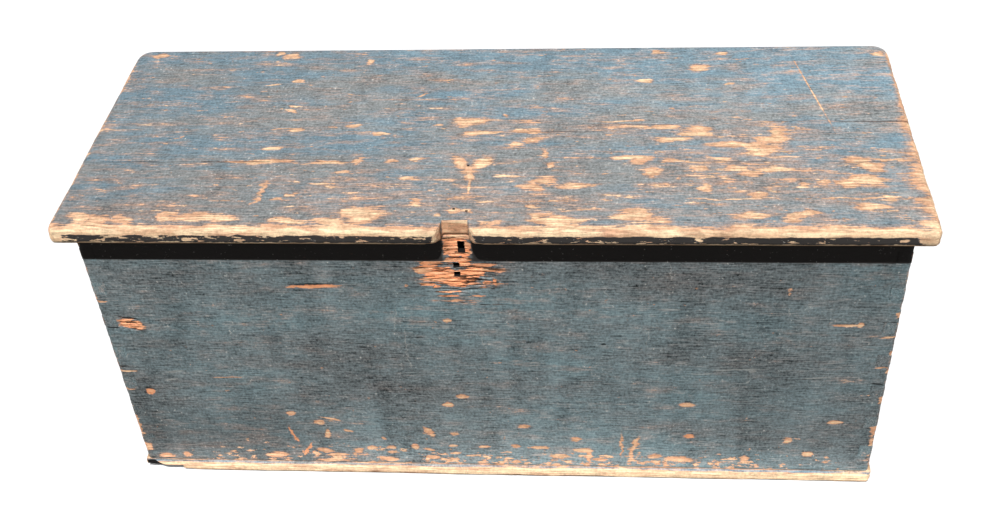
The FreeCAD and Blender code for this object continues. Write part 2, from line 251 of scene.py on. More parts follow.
studio = bpy.data.worlds.new("studio")
studio.use_nodes = True
studio.node_tree.nodes["Background"].inputs["Color"].default_value = ROOM_COLOUR
studio.node_tree.nodes["Background"].inputs["Strength"].default_value = ROOM_STRENGTH
bpy.context.scene.world = studio

# ---- lid boards
# Two hand-planed pine boards butted along one joint, their corners and upper edge rounded.
# The narrow front one is rubbed bare along its edge and notched for the lost hasp; the
# wide back one is let in underneath for the hinges.
LID_FRONT_CORNER = 14 * MM
LID_REAR_CORNER = 24 * MM
LID_ROUND = 10 * MM
SMALL_ROUND = 1.5 * MM
ROUND_STEPS = 6
LID_VOXEL = 2.6 * MM
NOTCH_MIDDLE = -35 * MM
NOTCH_WIDTH = 34 * MM
LID_NOTCH_DEPTH = 21 * MM
NOTCH_FLARE = 7 * MM
NOTCH_FLARE_DEPTH = 10 * MM
CRACK_DEEP = 8 * MM
SMOOTH_ANGLE = math.radians(38)
SPILL = 10 * MM

LID_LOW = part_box("lid_front_board")[0]
LID_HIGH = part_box("lid_back_board")[1]
LID_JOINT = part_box("lid_front_board")[1].y
CASE_LOW = Vector((*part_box("front_board")[0].xy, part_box("bottom_front_plank")[1].z))
CASE_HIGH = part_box("back_board")[1]
HINGE_WAY = 20.4 * MM
HINGE_REACH = 5.05 * MM
LID_HINGE_DEPTH = 5.3 * MM
PIN_LOW, PIN_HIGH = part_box("hinge_pin_left")
HINGE_AXIS = (PIN_LOW + PIN_HIGH) / 2
HINGE_MIDDLES = [sum(corner.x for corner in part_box("hinge_leaf_" + side)) / 2
                 for side in ("left", "right")]


def alone(thing):
    """Select one piece and make it the active one."""
    bpy.ops.object.select_all(action="DESELECT")
    thing.select_set(True)
    bpy.context.view_layer.objects.active = thing


def block(name, low, high):
    """A squared block between two corners, its place in its mesh."""
    bpy.ops.object.select_all(action="DESELECT")
    bpy.ops.mesh.primitive_cube_add(size=1, location=(Vector(low) + Vector(high)) / 2)
    piece = bpy.context.object
    piece.name = piece.data.name = name
    piece.scale = Vector(high) - Vector(low)
    bpy.ops.object.transform_apply(location=True, rotation=False, scale=True)
    return piece


def edit(piece, wanted, tool, kind="FACE", **settings):
    """Use a tool of edit mode on the edges or faces whose corners all suit."""
    alone(piece)
    mesh = piece.data
    for part in (*mesh.vertices, *mesh.edges, *mesh.polygons):
        part.select = False
    for part in mesh.edges if kind == "EDGE" else mesh.polygons:
        part.select = all(wanted(mesh.vertices[index].co) for index in part.vertices)
    bpy.context.tool_settings.mesh_select_mode = (False, kind == "EDGE", kind == "FACE")
    bpy.ops.object.mode_set(mode="EDIT")
    tool(**settings)
    bpy.ops.object.mode_set(mode="OBJECT")


def everywhere(co):
    """Suits every corner."""
    return True


def round_edges(piece, wanted, radius, steps=ROUND_STEPS):
    """Round over the chosen edges."""
    edit(piece, wanted, bpy.ops.mesh.bevel, "EDGE", offset=radius, segments=steps, affect="EDGES")


def squeeze(piece, wanted, factors, centre):
    """Draw the chosen faces together, or spread them, about a centre."""
    edit(piece, wanted, bpy.ops.transform.resize, value=factors, center_override=centre)


def work(piece, kind, **settings):
    """Put a modifier on a piece, set it, and apply it."""
    alone(piece)
    bpy.ops.object.modifier_add(type=kind)
    modifier = piece.modifiers[-1]
    for name, value in settings.items():
        setattr(modifier, name, value)
    bpy.ops.object.modifier_apply(modifier=modifier.name)


def carve(piece, cutters):
    """Cut all the cutters out of a piece at once."""
    alone(cutters[0])
    for cutter in cutters:
        cutter.select_set(True)
    if len(cutters) > 1:
        bpy.ops.object.join()
    cutter = bpy.context.object
    work(piece, "BOOLEAN", operation="DIFFERENCE", object=cutter, solver="MANIFOLD")
    bpy.data.objects.remove(cutter)


def weigh(piece, weight_at):
    """Mark off a soft-edged region of a piece by how strongly each point belongs to it."""
    region = piece.vertex_groups.new(name="region")
    for vertex in piece.data.vertices:
        weight = weight_at(vertex.co)
        if weight > 0:
            region.add([vertex.index], min(weight, 1), "REPLACE")
    return region.name


def fade(distance, reach):
    """1 at no distance, falling evenly to 0 at the reach."""
    return max(0, 1 - abs(distance) / reach)


def weather(piece, depth, size, grain, contrast=1.0, direction="NORMAL", where=None):
    """Sink the surface unevenly, there or all over, in a pattern drawn out along the grain."""
    pattern = bpy.data.textures.new("weather", "CLOUDS")
    pattern.noise_scale = size
    pattern.noise_depth = 3
    pattern.contrast = contrast
    bpy.ops.object.select_all(action="DESELECT")
    bpy.ops.object.empty_add()
    ruler = bpy.context.object
    ruler.scale = grain
    bpy.context.view_layer.update()
    work(piece, "DISPLACE", texture=pattern, texture_coords="OBJECT",
         texture_coords_object=ruler, direction=direction,
         vertex_group=weigh(piece, where) if where else "",
         mid_level=1 if direction == "NORMAL" else 0, strength=depth)
    bpy.data.objects.remove(ruler)
    bpy.data.textures.remove(pattern)


def settle(piece, body, node, material):
    """Shade a piece, give it its finish, and hand it its place in the chest."""
    alone(piece)
    bpy.ops.object.shade_smooth_by_angle(angle=SMOOTH_ANGLE)
    piece.data.materials.clear()
    piece.data.materials.append(material)
    piece.vertex_groups.clear()
    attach(piece, body)
    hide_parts(node)


def part_lid(name, keep_front):
    """One board of the lid: the whole lid, rounded, sawn along the joint."""
    lid = block(name, LID_LOW, LID_HIGH)
    end = LID_HIGH.x - MM
    for side in (-1, 1):
        round_edges(lid, lambda co: co.x * side > end and co.y < 0, LID_FRONT_CORNER)
        round_edges(lid, lambda co: co.x * side > end and co.y > 0, LID_REAR_CORNER)
    round_edges(lid, lambda co: co.z > LID_HIGH.z - MM, LID_ROUND)
    round_edges(lid, lambda co: co.z < LID_LOW.z + MM, SMALL_ROUND)
    edit(lid, everywhere, bpy.ops.mesh.bisect, plane_co=(0, LID_JOINT, 0), plane_no=(0, 1, 0),
         use_fill=True, clear_outer=keep_front, clear_inner=not keep_front)
    return lid


def notch_cutter():
    """The hasp's way in, flared where it has worn at the mouth."""
    half = NOTCH_WIDTH / 2
    mouth = LID_LOW.y - SPILL
    cutter = block("notch", (NOTCH_MIDDLE - half, mouth, LID_LOW.z - SPILL),
                   (NOTCH_MIDDLE + half, CASE_LOW.y, LID_HIGH.z + SPILL))
    edit(cutter, everywhere, bpy.ops.mesh.bisect,
         plane_co=(0, LID_LOW.y + NOTCH_FLARE_DEPTH, 0), plane_no=(0, 1, 0))
    flare = 1 + NOTCH_FLARE * (SPILL + NOTCH_FLARE_DEPTH) / NOTCH_FLARE_DEPTH / half
    squeeze(cutter, lambda co: co.y < mouth + MM, (flare, 1, 1), (NOTCH_MIDDLE, mouth, 0))
    return cutter


def crack_cutter(name, distance, length, width, drift):
    """A split that runs in from the lid's right end, closing as it goes."""
    y = LID_LOW.y + distance
    cutter = block(name, (LID_HIGH.x - length, y - width / 2, LID_HIGH.z - CRACK_DEEP),
                   (LID_HIGH.x + SPILL, y + width / 2, LID_HIGH.z + SPILL))
    tip = Vector((LID_HIGH.x - length, y, LID_HIGH.z))
    squeeze(cutter, lambda co: co.x < tip.x + MM, (1, 0.1, 1), tip)
    edit(cutter, lambda co: co.x < tip.x + MM, bpy.ops.transform.translate, value=(0, drift, 0))
    return cutter


def lid_hinge_way(x):
    """A shallow way under the lid for one hinge's knuckles."""
    return block("hinge_way", (x - HINGE_WAY, HINGE_AXIS.y - HINGE_REACH, LID_LOW.z - SPILL),
                 (x + HINGE_WAY, LID_HIGH.y + SPILL, LID_LOW.z + LID_HINGE_DEPTH))


def age_lid_board(board):
    """Wear that both boards share: hollows from the plane, ends ragged and splintered."""
    work(board, "REMESH", mode="VOXEL", voxel_size=LID_VOXEL)
    weather(board, 0.4 * MM, 0.05, (7, 1, 1))
    weather(board, -2.5 * MM, 0.06, (3, 0.8, 1), 1.3, "X",
            lambda co: fade(LID_HIGH.x - co.x, 22 * MM))
    weather(board, 3 * MM, 0.07, (3, 1, 1), 1.0, "X", lambda co: fade(co.x - LID_LOW.x, 18 * MM))
    weather(board, 1.4 * MM, 0.006, (3, 1, 1), 2.0,
            where=lambda co: fade(LID_HIGH.x - co.x, 9 * MM))


lid_front = part_lid("lid_front", True)
carve(lid_front, [notch_cutter()])
age_lid_board(lid_front)
mouth = weigh(lid_front, lambda co: fade(co.y - LID_LOW.y, 16 * MM)
              * (1 if abs(co.x - NOTCH_MIDDLE) < NOTCH_WIDTH else 0))
work(lid_front, "SMOOTH", factor=0.5, iterations=14, vertex_group=mouth)
weather(lid_front, 1.6 * MM, 0.025, (4, 1, 1), 1.6,
        where=lambda co: (1 if co.z > LID_LOW.z + 9 * MM else 0.2)
        * fade(co.y - LID_LOW.y, 18 * MM))
work(lid_front, "DECIMATE", ratio=0.6)
carve(lid_front, [crack_cutter("joint_crack", distance=145 * MM, length=118 * MM,
                               width=2.2 * MM, drift=0.6 * MM)])

lid_back = part_lid("lid_back", False)
age_lid_board(lid_back)
work(lid_back, "DECIMATE", ratio=0.6)
carve(lid_back, [crack_cutter("upper_crack", distance=236 * MM, length=96 * MM,
                              width=1.6 * MM, drift=-1.2 * MM)])
carve(lid_back, [lid_hinge_way(x) for x in HINGE_MIDDLES])

# The finish: blue-grey oil paint, chalked and browned with age, worn through to pine that
# was first rubbed pale and then went orange.
PAINT_BLUE = (0.166, 0.246, 0.294)
PAINT_TEAL = (0.160, 0.242, 0.262)
PAINT_GREY = (0.262, 0.278, 0.278)
PAINT_BROWNED = (0.330, 0.290, 0.265)
PAINT_SCUFFED = (0.360, 0.265, 0.225)
# Near black: the lid's strip of old dark paint, and the painted shadow of the lid's overhang on the
# case.
PAINT_UNFADED_AND_SHADOW = (0.050, 0.045, 0.042)
PINE_PALE = (0.92, 0.68, 0.43)
PINE_ORANGE = (0.74, 0.42, 0.26)
PINE_LATE_WOOD = (0.60, 0.32, 0.18)
PINE_AGED = (0.62, 0.54, 0.46)
PINE_RUSTY = (0.96, 0.37, 0.17)
# Near black: dirt in cracks and joints, and painted shade in holes, gaps, slits and the broken
# corner.
DIRT_AND_SHADE = (0.007, 0.006, 0.006)
LINT = (0.75, 0.72, 0.66)
RING_SPACING = 4.2 * MM
PITH_BELOW = 0.09

# Places rubbed bare on the lid, in millimetres: along it, back from its front edge, half
# length, half width, and the turn in degrees where there is one. Other marks go the same way.
FRONT_BOARD_RUBS = [
    (-508, 25, 15, 9), (-482, 20, 16, 10), (-450, 22, 14, 9), (-392, 28, 15, 11),
    (-359, 27, 26, 10), (-323, 24, 17, 9, 8), (-238, 18, 20, 6), (-192, 20, 24, 9),
    (-150, 34, 25, 19), (-88, 62, 8, 7), (-57, 34, 4, 4), (-35, 44, 5, 6), (-21, 41, 5, 6),
    (10, 18, 22, 4), (66, 31, 10, 6), (80, 22, 30, 9, -4), (112, 21, 16, 6), (124, 44, 9, 2),
    (187, 33, 24, 14), (206, 26, 20, 9), (327, 33, 24, 7), (374, 29, 12, 11), (389, 39, 12, 6),
    (461, 51, 17, 5), (490, 66, 12, 6),
    (-289, 82, 5, 16, -15), (-293, 63, 4, 8), (-212, 97, 18, 2), (-262, 66, 8, 2), (-243, 73, 7, 4),
    (-195, 122, 8, 3), (-102, 107, 14, 4), (68, 104, 17, 9, 10), (57, 90, 14, 8), (107, 95, 15, 8),
    (129, 95, 17, 3), (22, 112, 17, 3), (62, 52, 7, 5), (208, 123, 13, 8, -10), (269, 132, 11, 5),
    (269, 89, 6, 6, -30), (312, 132, 12, 6), (325, 120, 20, 5), (359, 128, 15, 8), (333, 75, 9, 7),
    (393, 93, 8, 5), (419, 102, 9, 5), (480, 131, 15, 10), (472, 106, 17, 15), (444, 97, 13, 9),
    (444, 69, 46, 1.6), (306, 65, 46, 1.2), (487, 69, 8, 5), (464, 50, 18, 5), (332, 74, 7, 6),
    (366, 127, 14, 5), (309, 129, 10, 4), (205, 121, 11, 8, -25), (194, 146, 9, 8),
]
JOINT_RUBS = [
    (-303, 146, 42, 4), (-216, 144, 26, 3), (-172, 147, 9, 7), (-131, 148, 8, 4), (-96, 151, 9, 3),
    (79, 140, 7, 5), (195, 149, 15, 9, -8), (175, 154, 18, 4), (224, 146, 10, 6), (252, 147, 7, 4),
    (463, 152, 17, 6), (505, 150, 36, 2),
]
BACK_BOARD_RUBS = [
    (-290, 174, 9, 4), (-268, 220, 7, 4), (-286, 223, 16, 1.5), (-189, 231, 8, 3),
    (-322, 333, 9, 2), (-286, 279, 6, 2), (-280, 267, 5, 4), (-288, 345, 6, 4), (-328, 420, 7, 7),
    (-309, 412, 8, 6), (-505, 416, 9, 7), (-421, 206, 3, 3), (-147, 211, 13, 2, 3),
    (-75, 230, 8, 3, 3), (-108, 306, 5, 4, 25), (-193, 395, 6, 6), (-34, 238, 22, 10, 3),
    (-19, 211, 24, 3, 1), (43, 215, 17, 4), (31, 186, 14, 5, 3), (54, 191, 10, 7), (67, 161, 4, 8),
    (16, 251, 5, 4), (219, 223, 11, 6), (170, 239, 30, 2, 2), (204, 340, 9, 4), (221, 416, 8, 5),
    (237, 196, 22, 4), (231, 223, 15, 5), (267, 207, 20, 4), (273, 219, 15, 4), (294, 155, 19, 3),
    (326, 184, 44, 8, 1), (348, 178, 25, 8), (373, 206, 12, 18), (360, 194, 18, 10),
    (345, 169, 15, 5), (267, 217, 17, 6, 2), (268, 207, 13, 3), (230, 225, 12, 4),
    (230, 150, 13, 4), (530, 408, 9, 5), (278, 370, 12, 9), (315, 327, 7, 3), (315, 409, 7, 3),
]
# Where the paint is scuffed all over but not gone.
SCUFFED_PLACES = [
    (335, 130, 200, 80), (330, 205, 130, 40), (-150, 82, 120, 50), (20, 60, 170, 40),
    (90, 225, 150, 30), (-430, 40, 110, 30),
]
# Bare marks with a clean outline: a long scratch, and the torn place above the hasp.
LID_SCRATCHES = [
    (426, 307, 72, 1.1, -79), (-38, 141, 7, 14, 30), (-10, 142, 8, 18, -38), (-26, 126, 12, 9),
    (-24, 114, 6, 9), (-23, 92, 1.6, 13),
]
# Splits and old knife lines that have filled with dirt.
LID_CRACKS = [
    (488, 145, 58, 1.0, 0.3), (494, 236, 50, 0.9, -0.7), (85, 214, 62, 0.7, 0.5),
    (-380, 147, 120, 0.6), (180, 231, 70, 0.6, -0.5), (330, 146, 70, 0.7), (-240, 152, 60, 0.7),
    (390, 238, 40, 0.7, 0.5),
]


def nearest_rub(flat, rubs):
    """1 on the rim of the nearest rubbed place, less inside it and more outside."""
    finish = flat.finish
    turned = {0: flat}
    nearest = None
    for x, y, half_length, half_width, *turn in rubs:
        turn = sum(turn)
        angle = -math.radians(turn)
        if turn not in turned:
            turned[turn] = finish.add("VectorRotate", {"rotation_type": "Z_AXIS"},
                                      {"Vector": flat, "Angle": angle})
        across = (x * math.cos(angle) - y * math.sin(angle)) / half_length
        along = (x * math.sin(angle) + y * math.cos(angle)) / half_width
        inside = finish.combine("MULTIPLY_ADD", turned[turn],
                                (1 / (half_length * MM), 1 / (half_width * MM), 0),
                                (-across, -along, 0))
        rim = finish.combine("LENGTH", inside, output="Value")
        nearest = nearest.least(rim) if nearest else rim
    return nearest


def pine(finish, run, core, aged):
    """Old pine with its rings along x: pale where it is rubbed most, orange elsewhere."""
    x, y, z = finish.parts(run)
    sway = finish.swing(run, (1.6, 5, 5), 2) * (4 * MM)
    ripple = finish.swing(run, (9, 60, 60), 3) * (0.15 * MM)
    from_pith = finish.vector(0, y + sway, z + (PITH_BELOW - LID_LOW.z))
    radius = finish.combine("LENGTH", from_pith, output="Value")
    ring = finish.reckon("FRACT", (radius + ripple) / RING_SPACING)
    late_wood = ring.step(0.35, 0.92) * ring.step(1.0, 0.93)
    fibre = finish.swing(run, (50, 500, 500), 2)
    streak = finish.swing(run, (18, 120, 120), 5)
    early = finish.mix(core + streak * 0.25, PINE_ORANGE, PINE_PALE)
    colour = finish.mix(late_wood * (aged * 0.35 + 0.5), early, PINE_LATE_WOOD)
    colour = finish.mix(aged, colour, finish.stretch(colour, PINE_AGED))
    return finish.shade(colour, fibre * 0.05 + streak * 0.04 + 1.0)


# Two coats of old paint: their colour, how fine their marks are, and how strong. Pitches are
# swells to the metre. The lid was rubbed and washed for years. On the case the brush marks
# still stand, and the paint holds better, most of all where the lid shelters it.
LID_COAT = Coat(
    fresh=PAINT_BLUE, mingled=1.0, scuffed=0.80, line_pitch=430, hair_pitch=8,
    flake_pitch=(60, 190, 190), hold=1.20, frailty=1.10, shelter=0.0, streak_wear=0.15,
    hair_wear=0.22, line_tone=0.11, mottle_tone=0.07, grit_tone=0.13, hair_tone=0.06,
    cloud_tone=0.05, wipe_tone=0.035, wood_light=0.98)
# The case's bare pine is made lighter than the lid's (wood_light): painted light that makes up for
# the weaker light on its upright faces.
CASE_COAT = Coat(
    fresh=PAINT_TEAL, mingled=0.25, scuffed=0.3875, line_pitch=600, hair_pitch=18,
    flake_pitch=(75, 150, 150), hold=1.55, frailty=1.50, shelter=3.0, streak_wear=0.10,
    hair_wear=0.06, line_tone=0.1708, mottle_tone=0.0366, grit_tone=0.1464, hair_tone=0.366,
    cloud_tone=0.0854, wipe_tone=0.0793, wood_light=1.14)
RELIEF = 0.35 * MM


def old_paint(finish, coat, run, worn, light=1.0, tint=0.0, browned=0.0, unfaded_and_shadow=0.0,
              flaky=0.0, aged=0.0, rusty=0.0, dirt_and_shade=0.0, scratched=0.0):
    """Paint over pine. It has gone where worn passes a half, and is thin just below that."""
    lines = finish.swing(run, (50, coat.line_pitch, coat.line_pitch), 3)
    hairs = finish.swing(run, (coat.hair_pitch, 480, 480), 2)
    streaks = finish.swing(run, (16, 85, 85), 5, 0.6)
    mottle = finish.swing(run, (45, 45, 45), 6, 0.8)
    flakes = finish.swing(run, coat.flake_pitch, 4)
    grit = finish.swing(run, (300, 260, 260), 3, 0.7)
    cloud = finish.swing(run, (3.5, 13, 13), 5, 0.65)
    wipes = finish.swing(run, (22, 7, 7), 3)
    flaked = flakes * 0.6 + flaky * coat.frailty - coat.hold - unfaded_and_shadow * coat.shelter
    depth = flaked.most(worn) + streaks * coat.streak_wear + mottle * 0.06 + lines * 0.08
    depth = depth + hairs.step(1.2, 2.6) * coat.hair_wear
    bare = depth.step(0.41, 0.59)
    thin = depth.step(-0.1, 0.5)
    core = depth.step(0.60, 1.30)
    hue = (cloud * 1.1 + mottle * 0.1) * coat.mingled + tint
    blue = finish.mix(hue.step(-1.5, 1.5), PAINT_GREY, coat.fresh)
    brown = (browned + cloud * 0.1 + mottle * 0.08 + streaks * 0.12 + lines * 0.06).step(0.1, 1.1)
    paint = finish.mix(brown, blue, PAINT_BROWNED)
    paint = finish.mix(thin * coat.scuffed, paint, PAINT_SCUFFED)
    tone = lines * coat.line_tone + mottle * coat.mottle_tone + grit * coat.grit_tone
    tone = tone - hairs.step(-1.4, -2.4) * coat.hair_tone
    tone = tone + cloud * coat.cloud_tone + wipes * coat.wipe_tone
    paint = finish.shade(paint, tone * light + light)
    # Near-black paint: the lid's dark strip, and on the case the lid's shadow, painted in.
    paint = finish.mix(unfaded_and_shadow, paint, PAINT_UNFADED_AND_SHADOW)
    specks = (grit + mottle * 0.5).step(2.9, 3.3)
    paint = finish.mix(specks * (1 - unfaded_and_shadow * 0.5), paint, LINT)
    paint = finish.mix(scratched, paint, LINT)
    wood = finish.mix(rusty, pine(finish, run, core, aged), PINE_RUSTY)
    wood = finish.shade(wood, mottle * 0.06 + lines * 0.08 + grit * 0.06 + coat.wood_light)
    colour = finish.mix(bare, paint, wood)
    # Dirt, and painted shade in hollows and gaps, darken the colour here.
    colour = finish.mix(dirt_and_shade, colour, DIRT_AND_SHADE)
    height = (1 - bare) * 0.5 + lines * 0.06 + grit * 0.03
    roughness = bare * 0.12 + mottle * 0.02 + dirt_and_shade * 0.35 + 0.58
    return finish.surface(colour, roughness, height, RELIEF, Specular_IOR_Level=0.3)


def between(value, low, high, soft):
    """1 between low and high and 0 outside, the edges softened by so much either way."""
    return (value - low).step(-soft, soft) * (value - high).step(soft, -soft)


# The front edge is rubbed bare this far back, save for a chipped strip of unfaded paint on
# its face, whose ends stop short of the lid's and which is cut off beside the notch.
EDGE_RUBBED = 14 * MM
STRIP_DEEP = 5 * MM
STRIP_LOW, STRIP_HIGH = 3.2 * MM, 13.2 * MM
STRIP_FROM_RIGHT, STRIP_FROM_LEFT, STRIP_FROM_NOTCH = 26 * MM, 22 * MM, 24 * MM
CHIP = 4 * MM
# Bare at the right end: narrow at the back, wider toward the front. A line at the left.
RIGHT_END_RUBBED = (6 * MM, 20 * MM)
LEFT_END_RUBBED = 5 * MM
LID_RUB_SWELLS, LID_RUB_REACH = (26, 60, 0), (46 * MM, 22 * MM, 0)
CRACK_SWELLS, CRACK_REACH = (20, 20, 0), (0, 9 * MM, 0)
NOTCH_RUST_HIGH = 18 * MM


def lid_finish(name, rubs):
    """Paint for one board of the lid; its underside was never painted."""
    finish = Finish(name)
    place = finish.place()
    x, y, z = finish.parts(place)
    back = y - LID_LOW.y
    up = z - LID_LOW.z
    to_right = LID_HIGH.x - x
    to_left = x - LID_LOW.x
    straight = finish.vector(x, back, 0)
    flat = finish.bend(straight, LID_RUB_SWELLS, LID_RUB_REACH)
    rub = (1.4 - nearest_rub(flat, rubs) * 0.9).least(0.95)
    rub = rub.most(1.3 - nearest_rub(straight, LID_SCRATCHES) * 0.8)
    scuffed = nearest_rub(flat, SCUFFED_PLACES).step(1.25, 0.35)
    chips = finish.swing(place, (45, 170, 170), 5)
    strip = (back - STRIP_DEEP).step(MM, -MM)
    strip = strip * (to_right - STRIP_FROM_RIGHT + chips * CHIP).step(-2 * MM, 2 * MM)
    strip = strip * (to_left - STRIP_FROM_LEFT + chips * CHIP).step(-2 * MM, 2 * MM)
    strip = strip * between(up + chips * (CHIP / 8), STRIP_LOW, STRIP_HIGH, 0.3 * MM)
    by_notch = abs(x - NOTCH_MIDDLE + 2 * MM) + chips * (CHIP / 2) - STRIP_FROM_NOTCH
    strip = strip * by_notch.step(-MM, MM)
    strip = strip * (chips + (x + 0.15).step(0.1, -0.25) * 0.8).step(1.6, 1.3)
    front = 1.40 - back / EDGE_RUBBED
    narrow, wide = RIGHT_END_RUBBED
    right_width = (back - 60 * MM).step(330 * MM, 0) * (wide - narrow) + narrow
    right = 1.1 - to_right / right_width * 0.6
    left = 0.95 - to_left / LEFT_END_RUBBED * 0.45
    under = (up - 2 * MM).step(MM, -MM)
    worn = rub.most(front).most(right).most(left).most(under * 1.5).most(scuffed * 0.33 - 0.12)
    worn = worn * (1 - strip) - strip
    in_notch = (abs(x - NOTCH_MIDDLE) - (NOTCH_WIDTH / 2 - MM)).step(MM, -MM)
    in_notch = in_notch * (back - (LID_NOTCH_DEPTH + 2 * MM)).step(MM, -MM)
    end_wall = in_notch * (back - (LID_NOTCH_DEPTH - 3 * MM)).step(-MM, MM)
    rusty = end_wall * (up - NOTCH_RUST_HIGH).step(MM, -MM) * 0.34
    # A dark line along the foot of the notch's end wall: painted shade of the gap between lid and
    # case.
    dirt_and_shade = end_wall * (up - 1.2 * MM).step(0.8 * MM, -0.4 * MM) * 0.9
    cracked = nearest_rub(finish.bend(straight, CRACK_SWELLS, CRACK_REACH), LID_CRACKS)
    dirt_and_shade = dirt_and_shade.most(cracked.step(1.3, 0.7) * 0.65)
    toward_right = (x + 0.1).step(-0.3, 0.5)
    toward_front = (back - 170 * MM).step(120 * MM, -60 * MM)
    toward_back = (back - 240 * MM).step(-60 * MM, 160 * MM)
    flaky = toward_right * toward_front * 0.28 + scuffed * 0.25
    browned = (back - 110 * MM).step(110 * MM, -70 * MM) * 0.35 + scuffed * 0.3
    # The paint is made lighter toward the right and the back right, and darker toward the front.
    light = x * 0.28 + toward_back * toward_right * 0.10 - toward_front * 0.085 + 1.06
    tint = toward_back * (abs(x).step(0.32, 0.08) * 0.8 + 1.3) - 0.7
    return old_paint(finish, LID_COAT, place, worn.most(in_notch * 1.2), light, tint, browned,
                     strip, flaky, aged=under * 0.7, rusty=rusty, dirt_and_shade=dirt_and_shade)


settle(lid_front, "lid", "lid_front_board",
       lid_finish("lid_front_paint", FRONT_BOARD_RUBS + JOINT_RUBS))
settle(lid_back, "lid", "lid_back_board",
       lid_finish("lid_back_paint", BACK_BOARD_RUBS + JOINT_RUBS))

# ---- hasp nail stubs
# Three square iron nails that held the hasp, broken off level with the lid and rusted. The
# hinges and all the other nails are forged from the same iron and get their finish here.
IRON_DARK = (0.030, 0.024, 0.021)
IRON_WORN = (0.085, 0.070, 0.062)
IRON_RUST = (0.190, 0.080, 0.035)


def old_iron(painted=False):
    """Hand-forged iron gone dark, with dry rust in its hollows; paint where it is clinched."""
    finish = Finish("painted_iron" if painted else "old_iron")
    place = finish.place()
    scale = finish.noise(place, (90, 90, 90), 6, 0.65)
    pits = finish.noise(place, (420, 420, 420), 4, 0.6)
    rust = (scale + (pits - 0.5) * 0.6).step(0.50, 0.62)
    iron = finish.mix(pits.step(0.35, 0.65), IRON_DARK, IRON_WORN)
    colour = finish.mix(rust * 0.8, iron, IRON_RUST)
    roughness = rust * 0.3 + pits * 0.2 + 0.42
    metal = 0.75 - rust * 0.7
    if painted:
        x, y, z = finish.parts(place)
        on_top = (z - LID_HIGH.z + 5 * MM).step(-MM, MM) * rust.step(1.0, 0.6)
        colour = finish.mix(on_top, colour, PAINT_GREY)
        metal = metal * (1 - on_top)
    height = scale + pits * 0.6
    return finish.surface(colour, roughness, height, 0.6 * MM, Metallic=metal)


iron = old_iron()
painted_iron = old_iron(painted=True)
for node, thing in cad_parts.items():
    if "nail" in node or "hinge" in node:
        thing.data.materials.clear()
        thing.data.materials.append(painted_iron if "strap_nails" in node else iron)

# ---- front and back boards
# Wide pine boards on edge, whose tails lock over the pins of the ends. The front has the
# staple's hole, two small nail holes and the splintered ghost of a lock.
CASE_VOXEL = 3.0 * MM
CASE_ARRIS = 1.2 * MM
JOINT_GAP = 0.25 * MM
PIN_COUNT = 7
LOWEST_PIN = CASE_LOW.z + 44 * MM
HIGHEST_PIN = CASE_HIGH.z - 34 * MM
PIN_PITCH = (HIGHEST_PIN - LOWEST_PIN) / (PIN_COUNT - 1)
PIN_WIDTH = 22 * MM
DOVETAIL_SLOPE = 1 / 7
INNER_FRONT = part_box("front_board")[1].y
INNER_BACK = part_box("back_board")[0].y
INNER_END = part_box("right_end_board")[0].x
BOARD = CASE_HIGH.x - INNER_END
STAPLE_HOLE = (-29.5 * MM, CASE_HIGH.z - 20 * MM, 8 * MM, 17 * MM)
SMALL_HOLES = [(-37.5 * MM, CASE_HIGH.z - drop * MM, 7 * MM, 6 * MM) for drop in (49, 64)]
STRAP_WAY = 15.5 * MM
STRAP_SINK = 3 * MM

